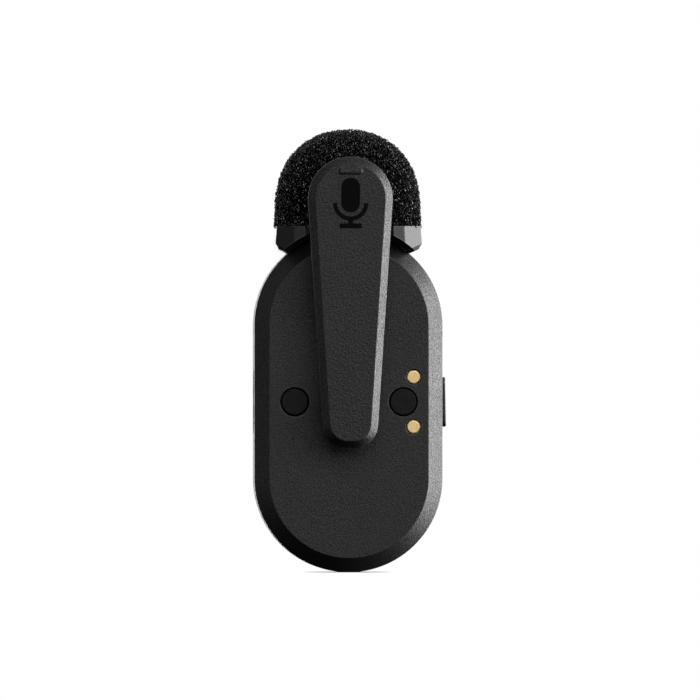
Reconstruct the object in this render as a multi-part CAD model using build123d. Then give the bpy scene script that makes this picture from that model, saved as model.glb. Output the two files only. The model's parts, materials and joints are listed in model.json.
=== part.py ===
from build123d import *
import os
from math import sqrt

# Clip-on wireless lavalier microphone: a pill-shaped transmitter case with a spring clip on its
# rear face, charging contacts and retaining magnets in that face, a button on one side, a USB
# socket on the other, and a microphone head on top under a push-on foam windscreen.
#
# Units are millimetres. The origin is the middle of the case's flat rear face, between the two
# retaining magnets. +Z runs up the case to the windscreen, +Y from the rear face to the front
# face, and +X towards the button, so the clip stands on the -Y side.

# Case
CASE_WIDTH = 27.2
CASE_HEIGHT = 49.3
CASE_DEPTH = 12.0
CASE_WALL = 1.3
REAR_BEVEL = 2.1
FRONT_BEVEL = 1.6
CASE_ROUND = 0.15
RIM_ROUND = 0.1
CASE_RADIUS = CASE_WIDTH / 2
STRAIGHT = CASE_HEIGHT - CASE_WIDTH
ARC_Z = STRAIGHT / 2
MID_Y = CASE_DEPTH / 2
CAVITY_RADIUS = CASE_RADIUS - CASE_WALL
INNER_BEVEL = 1.3
SEAM_GROOVE = 0.12
TONGUE_HEIGHT = 0.7
TONGUE_INNER = CAVITY_RADIUS + 0.1
TONGUE_OUTER = TONGUE_INNER + 0.5
TONGUE_GAP = 0.08
GASKET_HEIGHT = 0.2
WALL_INSIDE = CASE_RADIUS - 2.6
WALL_OUTSIDE = CASE_RADIUS + 1.4

# Running and assembly gaps
GAP = 0.1
HAIR = 0.02

# How far cutting tools run past what they cut
BEYOND = 20.0

# Rear face: magnets and charging contacts
MAGNET_X = 7.85
MAGNET_RADIUS = 1.95
MAGNET_HOLE = 2.1
MAGNET_DEPTH = 2.0
MAGNET_SINK = 0.08
MAGNET_ROUND = 0.2
MAGNET_CUP_WALL = 0.4
MAGNET_CUP_FLOOR = 0.62
CONTACT_X = 9.33
CONTACT_Z = 3.6
CONTACT_RADIUS = 1.0
CONTACT_SINK = 0.06
CONTACT_ROUND = 0.22
CONTACT_HOLE = CONTACT_RADIUS + 0.12
CONTACT_FLANGE = 1.3
CONTACT_FLANGE_END = CASE_WALL + 0.4
CONTACT_TAIL = 0.5
CONTACT_END = 2.2
LEAF_THICKNESS = 0.12
LEAF_REACH = 1.1

# Clip: lever, pivot, spring
PIVOT_Y = -3.2
PIVOT_Z = 18.0
PIN_RADIUS = 0.75
PIN_HOLE = 0.8
PIN_CHAMFER = 0.15
LEVER_OUTER_Y = -7.0
LEVER_THICKNESS = 2.4
LEVER_INNER_Y = LEVER_OUTER_Y + LEVER_THICKNESS
LEVER_TOP_RADIUS = 6.1
LEVER_TOP_Z = 35.4
LEVER_TIP_RADIUS = 3.5
LEVER_TIP_OFFSET = 0.5
LEVER_TIP_Z = -6.65
LEVER_BEVEL = 1.05
LEVER_ROUND = 0.15
LEVER_RIM = 1.3
POCKET_Y = -5.2
RIB_HALF = 0.4
SPINE_HALF = 0.5
SPINES = [(22.5, 33.0), (-1.5, 11.5)]
CROSS_RIBS = [(25.5, 3.6), (29.5, 3.6), (8.5, 3.2), (4.5, 3.2)]
THUMB_BAR_Z = 33.3
THUMB_BAR_LENGTH = 3.6
THUMB_BAR_WIDTH = 1.05
THUMB_BAR_HEIGHT = 0.38
THUMB_BAR_ROUND = 0.33
JAW_TOP = -0.4
JAW_INSET = 0.6
LUG_IN = 2.85
LUG_OUT = 4.2
EAR_IN = 1.5
EAR_OUT = 2.7
KNUCKLE = 1.7
BRACKET_PLATE = 1.2
BRACKET_WIDTH = 9.2
BRACKET_HEIGHT = 10.0
BRACKET_CORNER = 1.2
BRACKET_Z = 16.4
JAW_GAP = 0.08
PAD_THICKNESS = 1.0
PAD_INSET = 0.8
PAD_GROOVE = 0.35
PAD_GROOVES = [-5.0, -4.0, -3.0, -2.0, -1.0]
SPRING_WIRE = 0.22
SPRING_RADIUS = 1.75
SPRING_TURNS = 3.5
SPRING_PITCH = 0.55
LEVER_LEG = 6.0
BRACKET_LEG = 3.2

# Microphone head and windscreen
SPIGOT_LENGTH = 14.0
SPIGOT_WIDTH = 9.0
SPIGOT_TOP = 30.2
HEAD_FOOT_LENGTH = 16.0
HEAD_FOOT_Z = 19.0
HEAD_FLANGE_TOP = 20.1
HEAD_MOUTH_Z = 29.0
HEAD_MOUTH_WALL = 0.6
SOUND_PORT = 2.6
GROOVE_LOW = 26.5
GROOVE_TOP = 27.5
GROOVE_DEPTH = 0.4
CAPSULE_RADIUS = 3.0
CAPSULE_LOW = 25.3
CAPSULE_TOP = 28.0
CAPSULE_HOLES = 6
CAPSULE_HOLE = 0.3
CAPSULE_HOLE_RING = 1.3
CAPSULE_HOLE_DEPTH = 0.4
BOOT_RADIUS = 3.8
BOOT_LOW = 24.4
BOOT_TOP = 28.35
BOOT_WIRE_HOLE = 1.6
MESH_THICKNESS = 0.15
GRILLE_LOW = 29.25
GRILLE_TOP = 30.5
GRILLE_SHEET = 0.35
GRILLE_HOLE = 0.38
GRILLE_PITCH = 1.25
COLLAR_TOP = 25.4
COLLAR_FOOT = 16.0
COLLAR_EDGE_LOW = 22.9
KEEL_REACH = 12.0
KEEL_SLOPE = 0.45
COLLAR_BEVEL = 0.6
FACET_BEVEL = 0.1
COLLAR_HALF_WIDTH = 10.4
COLLAR_HALF_DEPTH = 7.6
FACET_X = 7.9
FACET_DROP = 0.55
SIDE_DROP = 2.85
COLLAR_FLARE = 1.07
COLLAR_NOTCH = 6.4
NOTCH_FLOOR_Y = 0.4
COLLAR_HUG = CASE_RADIUS + 0.05
COLLAR_ARCH = CASE_RADIUS + 0.85
ARCH_DEPTH = 1.4
BORE_GAP = 0.15
SLEEVE_WALL = 1.0
SLEEVE_TOP = 29.4
FOAM_TOP = 39.5
FOAM_RADIUS = 10.4
FOAM_FOOT = 10.65
FOAM_FLATTEN = 0.68
FOAM_HOLLOW_TOP = 31.4

# Board stack behind the front cover
BOARD_REAR = 3.4
BOARD_THICKNESS = 0.8
BOARD_FRONT = BOARD_REAR + BOARD_THICKNESS
BOARD_RADIUS = 11.5
BOARD_TOP = 18.4
SHIELD_WALL = 0.2
SHIELD_FRONT = 6.2
ANTENNA_RADIUS = 11.3
ANTENNA_STRIP = 0.2
ANTENNA_REAR = 5.0
ANTENNA_FRONT = 7.5
ANTENNA_TOP = -15.5
TRAY_REAR = 7.7
TRAY_PLATE = 0.4
TRAY_PLAY = 0.1
TRAY_RIM = 0.7
TRAY_LIP = 1.3
BATTERY_HALF = 9.4
BATTERY_LOW = -14.5
BATTERY_HIGH = 13.5
BATTERY_REAR = 8.3
BATTERY_FRONT = 10.5
BATTERY_ROUND = 0.9
TAPE_INSET = 2.5
LEADS_X = [-8.9, -8.0]
POST_PLACES = [(-5.5, 16.0), (5.5, 16.0), (-5.5, -17.5), (5.5, -17.5)]
POST_RADIUS = 1.7
POST_FLOOR_Y = CASE_WALL + 0.4
EAR_RADIUS = 2.0
SCREW_RADIUS = 0.8
SCREW_HEAD = 1.4
SCREW_HEAD_HEIGHT = 0.8
SCREW_CROSS_LENGTH = 0.8
SCREW_CROSS_WIDTH = 0.15
SCREW_CROSS_DEPTH = 0.4
BRACKET_SCREW_X = 2.6
BRACKET_SCREW_Z = 13.8
BOSS_RADIUS = 1.5
BOSS_TOP_Y = -3.0
BOSS_HOLE_Y = -2.5

# Side controls
BUTTON_LENGTH = 7.2
BUTTON_WIDTH = 2.4
BUTTON_CORNER = 0.9
BUTTON_ROUND = 0.22
BUTTON_PROUD_TOP = 0.53
BUTTON_PROUD_BOTTOM = 0.66
FLANGE_OUTER_X = 12.1
FLANGE_THICKNESS = 0.6
FLANGE_RIM = 0.5
NUB_RADIUS = 0.8
SEAL_THICKNESS = 0.35
SEAL_INSET = 0.2
BUTTON_TRAVEL = 0.25
SWITCH_BACK = 7.4
SWITCH_FACE = 9.7
SWITCH_TIP = 10.5
SWITCH_FRONT = 7.2
SWITCH_HALF = 2.2
PLUNGER_RADIUS = 0.7
PLUNGER_DEPTH = 0.8
USB_LENGTH = 8.94
USB_HEIGHT = 3.2
USB_MOUTH_X = -13.3
USB_BACK_X = -6.0
USB_WALL = 0.3
USB_TONGUE = 0.7
USB_TONGUE_HALF = 3.35
USB_TONGUE_SINK = 0.8
USB_BASE = 1.2

# Status lamp and the light pipe in front of it
LIGHT_Z = 17.2
LIGHT_LENGTH = 2.4
LIGHT_WIDTH = 0.9
LIGHT_REAR = 5.1
LIGHT_FLANGE = 0.5
LIGHT_FLANGE_REAR = 10.1
LAMP_LENGTH = 1.6
LAMP_WIDTH = 0.8
LAMP_HEIGHT = 0.7


def slab(outline, y_from, y_to):
    """An outline drawn in X and Z, as a solid between two Y planes."""
    return extrude(Plane.XZ.offset(-y_to) * outline, amount=y_to - y_from)


def prism(outline, z_from, z_to):
    """An outline drawn in X and Y, as a solid between two Z planes."""
    return extrude(Plane.XY.offset(z_from) * outline, amount=z_to - z_from)


def bar(outline, x_from, x_to):
    """An outline drawn in Y and Z, as a solid between two X planes."""
    return extrude(Plane.YZ.offset(x_from) * outline, amount=x_to - x_from)


def block(x, y, z):
    """A box from a (low, high) pair along each axis."""
    corner = Pos(x[0], y[0], z[0])
    return corner * Box(x[1] - x[0], y[1] - y[0], z[1] - z[0], align=(Align.MIN,) * 3)


def rod_y(radius, x, z, y_from, y_to):
    """A round bar along Y."""
    return slab(Pos(x, z) * Circle(radius), y_from, y_to)


def rod_x(radius, y, z, x_from, x_to):
    """A round bar along X."""
    return bar(Pos(y, z) * Circle(radius), x_from, x_to)


def stadium(half_width):
    """The case outline, grown or shrunk so that its half width is the one given."""
    return SlotOverall(STRAIGHT + 2 * half_width, 2 * half_width, rotation=90)


def edges_at(solid, y):
    """The edges that lie in one Y plane."""
    return solid.edges().filter_by_position(Axis.Y, y - HAIR, y + HAIR).filter_by(
        lambda edge: edge.bounding_box().size.Y < HAIR
    )


def soften(solid, radius, planes):
    """Rounds the edge loops that lie in the given Y planes."""
    for y in planes:
        solid = fillet(edges_at(solid, y), radius)
    return solid


def pebble(half_width, y_from, y_to, rear_bevel, front_bevel):
    """A stadium-shaped block with its rear and front edges bevelled."""
    solid = slab(stadium(half_width), y_from, y_to)
    solid = chamfer(edges_at(solid, y_from), rear_bevel)
    return chamfer(edges_at(solid, y_to), front_bevel)


def band(inner, outer, y_from, y_to):
    """A stadium-shaped ring between two half widths."""
    return slab(stadium(outer), y_from, y_to) - slab(stadium(inner), y_from, y_to)


def head_outline(grow=0.0):
    """The microphone head's oblong plan outline, centred on the case's depth."""
    return Pos(0, MID_Y) * SlotOverall(SPIGOT_LENGTH + 2 * grow, SPIGOT_WIDTH + 2 * grow)


def head_round(radius):
    """A circle in plan on the microphone head's axis."""
    return Pos(0, MID_Y) * Circle(radius)


def button_outline(grow=0.0):
    """The side button's rounded oblong, grown or shrunk all round."""
    width, length = BUTTON_WIDTH + 2 * grow, BUTTON_LENGTH + 2 * grow
    return Pos(MID_Y, 0) * RectangleRounded(width, length, BUTTON_CORNER + grow)


def lever_outline():
    """The clip lever's outline: a wide round thumb end tapering to a narrower round tip."""
    thumb = Pos(0, LEVER_TOP_Z - LEVER_TOP_RADIUS) * Circle(LEVER_TOP_RADIUS)
    tip_z = LEVER_TIP_Z + LEVER_TIP_RADIUS
    tips = [Pos(side * LEVER_TIP_OFFSET, tip_z) * Circle(LEVER_TIP_RADIUS) for side in (-1, 1)]
    return make_hull([c.edge() for c in (thumb, *tips)])


def jaw_outline(inset):
    """The gripping end's outline: the lever's tip drawn in by an inset, cut off at the jaw's top."""
    below = Pos(0, JAW_TOP - BEYOND / 2) * Rectangle(BEYOND, BEYOND)
    return offset(lever_outline(), amount=-inset) & below


def case_openings():
    """What both covers leave open: the head's seat, the button slot and the USB mouth."""
    seat = prism(head_outline(GAP), HEAD_FLANGE_TOP + GAP, CASE_HEIGHT)
    slot = button_outline(GAP)
    mouth = Pos(MID_Y, 0) * SlotOverall(USB_LENGTH + 4 * GAP, USB_HEIGHT + 4 * GAP, rotation=90)
    return seat + bar(slot, WALL_INSIDE, WALL_OUTSIDE) + bar(mouth, -WALL_OUTSIDE, -WALL_INSIDE)


def case_shell():
    """The whole case as one hollow shell, before it is split into covers."""
    outer = pebble(CASE_RADIUS, 0, CASE_DEPTH, REAR_BEVEL, FRONT_BEVEL)
    outer = soften(outer, CASE_ROUND, [0, REAR_BEVEL, CASE_DEPTH - FRONT_BEVEL, CASE_DEPTH])
    inner = pebble(CAVITY_RADIUS, CASE_WALL, CASE_DEPTH - CASE_WALL, INNER_BEVEL, INNER_BEVEL)
    seam = band(CASE_RADIUS - SEAM_GROOVE, CASE_RADIUS + 1, MID_Y - SEAM_GROOVE, MID_Y + SEAM_GROOVE)
    return outer - inner - seam


def half_space(y_from, y_to):
    """A box wider and taller than the case, between two Y planes."""
    return block((-BEYOND, BEYOND), (y_from, y_to), (-2 * BEYOND, 2 * BEYOND))


def rear_cover():
    """Rear half of the case, with the sealing tongue, magnet cups, contact holes and bosses."""
    cover = case_shell() & half_space(-1, MID_Y)
    cover += band(TONGUE_INNER, TONGUE_OUTER, MID_Y - CASE_WALL, MID_Y + TONGUE_HEIGHT)
    for side in (-1, 1):
        x = side * MAGNET_X
        cup_depth = MAGNET_SINK + MAGNET_DEPTH + HAIR
        cover += rod_y(MAGNET_HOLE + MAGNET_CUP_WALL, x, 0, CASE_WALL - GAP, cup_depth + MAGNET_CUP_FLOOR)
        cover -= rod_y(MAGNET_HOLE, x, 0, -1, cup_depth)
        cover -= rod_y(CONTACT_HOLE, CONTACT_X, side * CONTACT_Z, -1, CASE_DEPTH)
        cover -= rod_y(SCREW_RADIUS + GAP, side * BRACKET_SCREW_X, BRACKET_SCREW_Z, -1, MID_Y)
    circles = edges_at(cover, 0).filter_by(GeomType.CIRCLE)
    cover = fillet([edge for edge in circles if edge.radius <= MAGNET_HOLE], RIM_ROUND)
    for x, z in POST_PLACES:
        cover += rod_y(POST_RADIUS, x, z, CASE_WALL - GAP, BOARD_REAR - HAIR)
        cover -= rod_y(SCREW_RADIUS + HAIR, x, z, POST_FLOOR_Y, BOARD_REAR)
    return cover - case_openings()


def front_cover():
    """Front half of the case, rebated for the tongue, with the light pipe's window."""
    cover = case_shell() & half_space(MID_Y, CASE_DEPTH + 1)
    rebate_top = MID_Y + TONGUE_HEIGHT + GASKET_HEIGHT + HAIR
    cover -= band(CAVITY_RADIUS - 1, TONGUE_OUTER + TONGUE_GAP, MID_Y - 1, rebate_top)
    window = Pos(0, LIGHT_Z) * SlotOverall(LIGHT_LENGTH + 2 * HAIR, LIGHT_WIDTH + 2 * HAIR)
    cover -= slab(window, MID_Y, CASE_DEPTH + 1)
    return cover - case_openings()


def case_gaskets():
    """Silicone cords pressed between tongue and rebate: one each side of the head, one below."""
    low = MID_Y + TONGUE_HEIGHT + HAIR / 2
    ring = band(TONGUE_INNER, TONGUE_OUTER, low, low + GASKET_HEIGHT) - case_openings()
    lower, *upper = ring.solids().sort_by(Axis.Z)
    upper_left, upper_right = sorted(upper, key=lambda cord: cord.center().X)
    return {"lower_gasket": lower, "upper_left_gasket": upper_left, "upper_right_gasket": upper_right}


def light_pipe():
    """Clear rod that carries the lamp's light to the front face, held by an inner flange."""
    pipe = slab(Pos(0, LIGHT_Z) * SlotOverall(LIGHT_LENGTH, LIGHT_WIDTH), LIGHT_REAR, CASE_DEPTH)
    flange_top = CASE_DEPTH - CASE_WALL - HAIR
    flange_outline = SlotOverall(LIGHT_LENGTH + 2 * LIGHT_FLANGE, LIGHT_WIDTH + 2 * LIGHT_FLANGE)
    return pipe + slab(Pos(0, LIGHT_Z) * flange_outline, LIGHT_FLANGE_REAR, flange_top)


def status_lamp():
    """Surface-mount lamp on the board under the light pipe."""
    return chip(0, LIGHT_Z, LAMP_LENGTH, LAMP_WIDTH, LAMP_HEIGHT)


def magnet(side):
    """Disc magnet seated just under the rear face, its visible edge rounded."""
    disc = rod_y(MAGNET_RADIUS, side * MAGNET_X, 0, MAGNET_SINK, MAGNET_SINK + MAGNET_DEPTH)
    return fillet(edges_at(disc, MAGNET_SINK), MAGNET_ROUND)


def contact_pin(side):
    """Gold-plated charging contact: a flat head, a retaining flange inside and a tail."""
    z = side * CONTACT_Z
    head = rod_y(CONTACT_RADIUS, CONTACT_X, z, CONTACT_SINK, CASE_WALL + HAIR)
    head = fillet(edges_at(head, CONTACT_SINK), CONTACT_ROUND)
    flange = rod_y(CONTACT_FLANGE, CONTACT_X, z, CASE_WALL + HAIR, CONTACT_FLANGE_END)
    return head + flange + rod_y(CONTACT_TAIL, CONTACT_X, z, CONTACT_FLANGE_END, CONTACT_END)


def contact_spring(side):
    """Bent leaf that joins a charging contact's tail to the board."""
    low = CONTACT_END + LEAF_THICKNESS / 2 + HAIR
    high = BOARD_REAR - LEAF_THICKNESS / 2 - HAIR
    bend = (LEAF_REACH, (low + high) / 2)
    half = LEAF_REACH / 2
    path = Polyline((-LEAF_REACH, low), (half, low), bend, (half, high), (-LEAF_REACH, high))
    leaf = Pos(CONTACT_X, 0) * trace(path, line_width=LEAF_THICKNESS)
    z = side * CONTACT_Z
    return prism(leaf, z - half, z + half)


def clip_bracket():
    """Hinge bracket on the rear face: plate, two ears for the pin and two screw bosses."""
    outline = Pos(0, BRACKET_Z) * RectangleRounded(BRACKET_WIDTH, BRACKET_HEIGHT, BRACKET_CORNER)
    bracket = slab(outline, -BRACKET_PLATE, 0)
    knuckle = Pos(PIVOT_Y, PIVOT_Z) * Circle(KNUCKLE)
    foot = Pos(-BRACKET_PLATE / 2, PIVOT_Z) * Rectangle(BRACKET_PLATE, 3 * KNUCKLE)
    ear = make_hull([*knuckle.edges(), *foot.edges()])
    for side in (-1, 1):
        low, high = sorted((side * EAR_IN, side * EAR_OUT))
        bracket += bar(ear, low, high)
        x = side * BRACKET_SCREW_X
        bracket += rod_y(BOSS_RADIUS, x, BRACKET_SCREW_Z, BOSS_TOP_Y, 0)
        bracket -= rod_y(SCREW_RADIUS + HAIR, x, BRACKET_SCREW_Z, BOSS_HOLE_Y, 1)
    return bracket - rod_x(PIN_HOLE, PIVOT_Y, PIVOT_Z, -BEYOND, BEYOND)


def pan_screw(x, z, head_rear, shank_end):
    """A small cross-head screw along Y: its head on one plane, its shank reaching back to another."""
    head_front = head_rear + SCREW_HEAD_HEIGHT
    head = rod_y(SCREW_HEAD, x, z, head_rear, head_front)
    head = fillet(edges_at(head, head_front), SCREW_HEAD_HEIGHT / 3)
    screw = head + rod_y(SCREW_RADIUS, x, z, shank_end, head_rear)
    recess = (head_front - SCREW_CROSS_DEPTH, head_front)
    for x_half, z_half in ((SCREW_CROSS_LENGTH, SCREW_CROSS_WIDTH), (SCREW_CROSS_WIDTH, SCREW_CROSS_LENGTH)):
        screw -= block((x - x_half, x + x_half), recess, (z - z_half, z + z_half))
    return screw


def bracket_screws():
    """Two screws from inside the rear cover into the bracket's bosses."""
    return [
        pan_screw(side * BRACKET_SCREW_X, BRACKET_SCREW_Z, CASE_WALL, BOSS_HOLE_Y + 0.2)
        for side in (-1, 1)
    ]


def board_screws():
    """Four screws through the tray and the board into the rear cover's posts."""
    seat = TRAY_REAR + TRAY_PLATE
    return [pan_screw(x, z, seat, POST_FLOOR_Y + 0.2) for x, z in POST_PLACES]


def lever_rib(x_half, z_from, z_to):
    """A rib standing in the lever's underside pocket."""
    return block((-x_half, x_half), (POCKET_Y - HAIR, LEVER_INNER_Y), (z_from, z_to))


def clip_lever():
    """Spring-loaded clip arm: bevelled plate, ribbed underside, hinge lugs, jaw and thumb bar."""
    plate = slab(lever_outline(), LEVER_OUTER_Y, LEVER_INNER_Y)
    plate = chamfer(edges_at(plate, LEVER_OUTER_Y), LEVER_BEVEL)
    plate = soften(plate, LEVER_ROUND, [LEVER_OUTER_Y, LEVER_OUTER_Y + LEVER_BEVEL, LEVER_INNER_Y])
    pocket = slab(offset(lever_outline(), amount=-LEVER_RIM), POCKET_Y, LEVER_INNER_Y)
    jaw_face = -JAW_GAP - PAD_THICKNESS - HAIR
    lever = plate - pocket + slab(jaw_outline(JAW_INSET), POCKET_Y - HAIR, jaw_face)
    for low, high in SPINES:
        lever += lever_rib(SPINE_HALF, low, high)
    for z, half in CROSS_RIBS:
        lever += lever_rib(half, z - RIB_HALF, z + RIB_HALF)
    knuckle = Pos(PIVOT_Y, PIVOT_Z) * Circle(KNUCKLE - GAP)
    root = Pos(POCKET_Y, PIVOT_Z) * Rectangle(HAIR, 3.5 * KNUCKLE)
    lug = make_hull([*knuckle.edges(), *root.edges()])
    for side in (-1, 1):
        low, high = sorted((side * LUG_IN, side * LUG_OUT))
        lever += bar(lug, low, high)
    lever -= rod_x(PIN_RADIUS + HAIR / 2, PIVOT_Y, PIVOT_Z, -LUG_OUT - GAP, LUG_OUT + GAP)
    bar_top = LEVER_OUTER_Y - THUMB_BAR_HEIGHT
    thumb_bar = Pos(0, THUMB_BAR_Z) * SlotOverall(THUMB_BAR_LENGTH, THUMB_BAR_WIDTH)
    ridge = slab(thumb_bar, bar_top, LEVER_OUTER_Y + HAIR)
    return lever + fillet(edges_at(ridge, bar_top), THUMB_BAR_ROUND)


def clip_pad():
    """Soft ribbed pad on the jaw, which grips the cloth against the rear face."""
    pad = slab(jaw_outline(PAD_INSET), -JAW_GAP - PAD_THICKNESS, -JAW_GAP)
    half = PAD_GROOVE / 2
    for z in PAD_GROOVES:
        pad -= block((-BEYOND, BEYOND), (-JAW_GAP - PAD_GROOVE, 0), (z - half, z + half))
    return pad


def pivot_pin():
    """Steel hinge pin, tight in the lever's lugs and running in the bracket's ears."""
    pin = rod_x(PIN_RADIUS, PIVOT_Y, PIVOT_Z, -LUG_OUT, LUG_OUT)
    return chamfer(pin.edges().filter_by(GeomType.CIRCLE), PIN_CHAMFER)


def clip_spring():
    """Torsion spring round the pin: one leg on the bracket plate, one under the thumb end."""
    length = SPRING_PITCH * SPRING_TURNS
    start = Plane(origin=(-length / 2, PIVOT_Y, PIVOT_Z), x_dir=(0, -1, 0), z_dir=(1, 0, 0))
    coil_path = start * Helix(pitch=SPRING_PITCH, height=length, radius=SPRING_RADIUS)
    section = Plane(origin=coil_path @ 0, z_dir=coil_path % 0) * Circle(SPRING_WIRE)
    spring = sweep(section, path=coil_path)
    for end, sign, reach in ((0, -1, LEVER_LEG), (1, 1, BRACKET_LEG)):
        leg = Plane(origin=coil_path @ end, z_dir=(coil_path % end) * sign)
        spring += extrude(leg * Circle(SPRING_WIRE), amount=reach)
    return spring


def mic_head():
    """Moulded head clamped between the covers: foot flange, spigot, capsule bore, sound port."""
    foot = Pos(0, MID_Y) * SlotOverall(HEAD_FOOT_LENGTH, SPIGOT_WIDTH)
    head = prism(foot, HEAD_FOOT_Z, HEAD_FLANGE_TOP)
    head += prism(head_outline(), HEAD_FLANGE_TOP, SPIGOT_TOP)
    head -= prism(head_round(BOOT_RADIUS + HAIR), HEAD_FOOT_Z - 1, BOOT_TOP + HAIR)
    head -= prism(head_round(SOUND_PORT), CAPSULE_TOP, SPIGOT_TOP)
    head -= prism(head_outline(-HEAD_MOUTH_WALL), HEAD_MOUTH_Z, SPIGOT_TOP + 1)
    groove = prism(head_outline(1), GROOVE_LOW, GROOVE_TOP)
    groove -= prism(head_outline(-GROOVE_DEPTH), GROOVE_LOW, GROOVE_TOP)
    return head - groove


def head_ring():
    """Rubber ring in the spigot's groove, which grips the windscreen collar's bore."""
    low, high = GROOVE_LOW + GAP, GROOVE_TOP - GAP
    ring = prism(head_outline(BORE_GAP - HAIR), low, high)
    ring -= prism(head_outline(HAIR - GROOVE_DEPTH), low, high)
    rim = ring.faces().sort_by(SortBy.AREA)[-1].edges()
    return chamfer(rim, (high - low) / 4)


def mic_capsule():
    """Omnidirectional capsule, sound holes up."""
    capsule = prism(head_round(CAPSULE_RADIUS), CAPSULE_LOW, CAPSULE_TOP)
    capsule = fillet(capsule.faces().sort_by(Axis.Z)[-1].edges(), 0.3)
    for place in PolarLocations(CAPSULE_HOLE_RING, CAPSULE_HOLES):
        hole = Pos(0, MID_Y) * place * Circle(CAPSULE_HOLE)
        capsule -= prism(hole, CAPSULE_TOP - CAPSULE_HOLE_DEPTH, CAPSULE_TOP + 1)
    return capsule


def capsule_boot():
    """Rubber boot that holds the capsule in the head's bore."""
    boot = prism(head_round(BOOT_RADIUS), BOOT_LOW, BOOT_TOP)
    boot -= prism(head_round(CAPSULE_RADIUS + HAIR), CAPSULE_LOW - HAIR, BOOT_TOP + 1)
    return boot - prism(head_round(BOOT_WIRE_HOLE), BOOT_LOW - 1, CAPSULE_LOW)


def wire(points, radius=0.25):
    """A round wire along a smooth curve through the points."""
    path = Spline(*points)
    return sweep(Plane(origin=path @ 0, z_dir=path % 0) * Circle(radius), path=path)


def capsule_wires():
    """Two fine wires from the capsule down to the board."""
    wires = []
    for side in (-1, 1):
        x = side * 0.8
        top = (x, MID_Y, CAPSULE_LOW - HAIR)
        wires.append(wire([top, (x, MID_Y, 22.5), (x * 1.6, 5.6, 18.6), (x * 3, BOARD_FRONT + 0.3, 14.6)]))
    return wires


def battery_leads():
    """Two wires from the cell's top edge round the tray to the board."""
    leads = []
    for x in LEADS_X:
        start, bend = (x, 9.4, BATTERY_HIGH + 0.35), (x, 8.3, 15.4)
        leads.append(wire([start, bend, (x, 6.4, 14.6), (x + 0.6, BOARD_FRONT + 0.35, 11.5)], 0.3))
    return leads


def acoustic_mesh():
    """Fine cloth disc under the grille that keeps dust and spray out."""
    low = HEAD_MOUTH_Z + HAIR
    return prism(head_outline(-HEAD_MOUTH_WALL - GAP), low, low + MESH_THICKNESS)


def mic_grille():
    """Stamped metal cap with rows of sound holes, seated in the spigot's mouth."""
    inset = HEAD_MOUTH_WALL + GAP / 2
    cap = prism(head_outline(-inset), GRILLE_LOW, GRILLE_TOP)
    cap = fillet(cap.faces().sort_by(Axis.Z)[-1].edges(), 0.3)
    cap -= prism(head_outline(-inset - GRILLE_SHEET), GRILLE_LOW - 1, GRILLE_TOP - GRILLE_SHEET)
    for row in range(-2, 3):
        shift = GRILLE_PITCH / 2 if row % 2 else 0
        for column in range(-4, 5):
            x, y = column * GRILLE_PITCH + shift, row * GRILLE_PITCH * sqrt(3) / 2
            row_reach = 5.2 - abs(y) * 0.4
            if abs(x) < row_reach:
                cap -= prism(Pos(x, MID_Y + y) * Circle(GRILLE_HOLE), GRILLE_TOP - 1, GRILLE_TOP + 1)
    return cap


def collar_section(z, grow):
    """The collar's faceted plan outline at one height, scaled about the head's centre."""
    corners = [(COLLAR_NOTCH, COLLAR_HALF_DEPTH), (FACET_X, COLLAR_HALF_DEPTH - FACET_DROP)]
    corners.append((COLLAR_HALF_WIDTH, COLLAR_HALF_DEPTH - SIDE_DROP))
    right = [(x, -y) for x, y in corners] + [(x, y) for x, y in reversed(corners)]
    ring = right + [(-x, -y) for x, y in right]
    points = [(x * grow, MID_Y + y * grow) for x, y in ring]
    return Plane.XY.offset(z) * make_face(Polyline(*points, close=True))


def above_keel():
    """Everything above the collar's underside, which is a shallow V seen from the rear."""
    low = COLLAR_EDGE_LOW - KEEL_SLOPE * KEEL_REACH
    keel = [(-KEEL_REACH, COLLAR_EDGE_LOW), (0, low), (KEEL_REACH, COLLAR_EDGE_LOW)]
    keel += [(KEEL_REACH, COLLAR_TOP + 1), (-KEEL_REACH, COLLAR_TOP + 1)]
    return slab(make_face(Polyline(*keel, close=True)), -BEYOND, BEYOND)


def collar_arch():
    """Room for the case's rounded end: a close fit inside, opening out at the rear and front edges."""
    flare = COLLAR_ARCH - COLLAR_HUG
    rear = [(0, -BEYOND), (COLLAR_ARCH, -BEYOND), (COLLAR_ARCH, ARCH_DEPTH - flare), (COLLAR_HUG, ARCH_DEPTH)]
    front = [(radius, CASE_DEPTH - y) for radius, y in reversed(rear)]
    half = make_face(Polyline(*rear, *front, close=True))
    return Pos(0, 0, ARC_Z) * revolve(half, Axis.Y)


def uprights(body, x_from, x_to):
    """The collar's near-vertical edges that lie between two distances from the middle."""
    steep = [edge for edge in body.edges() if abs((edge @ 1 - edge @ 0).normalized().Z) > 0.95]
    return [edge for edge in steep if x_from < abs(edge.center().X) < x_to]


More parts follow.
